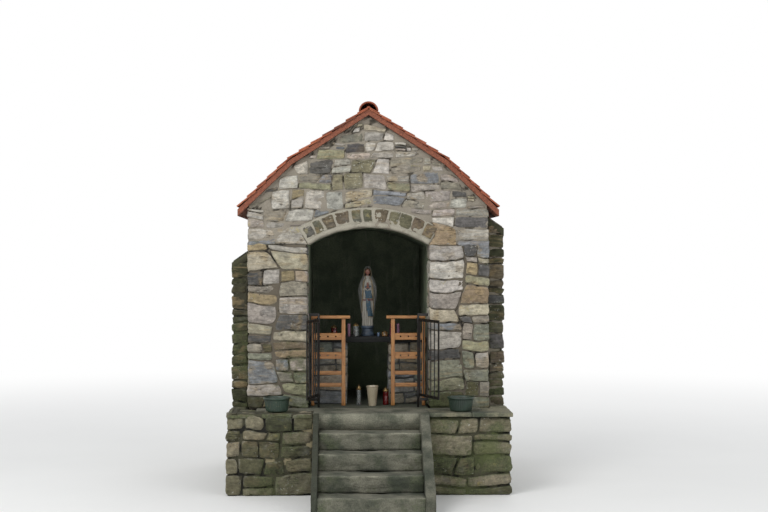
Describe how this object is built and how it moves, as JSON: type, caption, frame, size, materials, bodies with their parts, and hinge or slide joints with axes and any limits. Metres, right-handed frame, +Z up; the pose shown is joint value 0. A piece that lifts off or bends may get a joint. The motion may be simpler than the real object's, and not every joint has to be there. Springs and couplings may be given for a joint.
{
  "type": "wayside shrine",
  "caption": "Gabled rubble-stone wayside shrine with an arched niche, altar and figure, iron gates, a kinked tile roof and a short concrete stair.",
  "frame": {"origin": "middle of the footprint at the level of the foot of the stair", "axes": "+X to the right as seen from the stair, +Y back into the niche, +Z up"},
  "size_m": [2.96, 4.065, 4.0979],
  "materials": {
    "wall_stone": "weathered rubble stone in wide mortar joints",
    "arch_stone": "rough brown and grey arch stones",
    "mortar": "pale smeared mortar",
    "wing_stone": "mossy rubble stone",
    "retaining_stone": "olive rubble stone with moss and lichen",
    "rubble_core": "rough rubble fill",
    "coping_concrete": "weathered thin concrete",
    "step_concrete": "mossy damp concrete",
    "niche_plaster": "dark damp vault",
    "niche_floor": "worn concrete floor",
    "altar_stone": "blue-grey rubble stone",
    "altar_slab": "dark smooth slab",
    "roof_deck": "dark weathered boards",
    "roof_tile": "fired red clay",
    "statue_base": "painted plaster, blue-grey",
    "statue_paint": "painted plaster, cream, blue and red",
    "timber": "varnished orange-brown wood",
    "iron": "dark painted iron with rust",
    "lantern_glass": "coloured and clear candle glass",
    "vase_glaze": "cream glaze",
    "bowl_glaze": "dark green glaze"
  },
  "bodies": {
    "shrine": {"terrace_core": "rubble_core", "landing_slab": "step_concrete", "retaining_wall_left": "retaining_stone", "retaining_wall_right": "retaining_stone", "coping_right": "coping_concrete", "stair_curb_left": "step_concrete", "stair_cheek_right": "step_concrete", "step_1": "step_concrete", "step_2": "step_concrete", "step_3": "step_concrete", "step_4": "step_concrete", "front_pier_left": "wall_stone", "front_pier_right": "wall_stone", "arch_stones": "arch_stone", "arch_mortar": "mortar", "gable_front": "wall_stone", "side_wall_left": "wall_stone", "side_wall_right": "wall_stone", "back_wall": "wall_stone", "vault": "niche_plaster", "niche_floor": "niche_floor", "wing_left": "wing_stone", "wing_right": "wing_stone", "roof_deck_left": "roof_deck", "roof_deck_right": "roof_deck", "roof_tiles_left": "roof_tile", "roof_tiles_right": "roof_tile", "ridge_tiles": "roof_tile", "altar_pier_left": "altar_stone", "altar_pier_right": "altar_stone", "altar_slab": "altar_slab", "statue_base": "statue_base", "statue": "statue_paint", "timber_frame_left": "timber", "timber_frame_right": "timber", "gate_post_left": "iron", "gate_post_right": "iron", "altar_lanterns": "lantern_glass", "floor_lanterns": "lantern_glass", "vase": "vase_glaze", "bowl_left": "bowl_glaze", "bowl_right": "bowl_glaze"},
    "left_leaf": {"gate_leaf_left": "iron"},
    "right_leaf": {"gate_leaf_right": "iron"}
  },
  "joints": [
    {"name": "left_gate_hinge", "type": "hinge", "parent": "shrine", "child": "left_leaf", "pos_m": [-0.53, -0.3525, 0.85], "axis": [0, 0, -1], "range_deg": [-103, 17]},
    {"name": "right_gate_hinge", "type": "hinge", "parent": "shrine", "child": "right_leaf", "pos_m": [0.53, -0.3525, 0.85], "axis": [0, 0, 1], "range_deg": [-112, 8]}
  ]
}
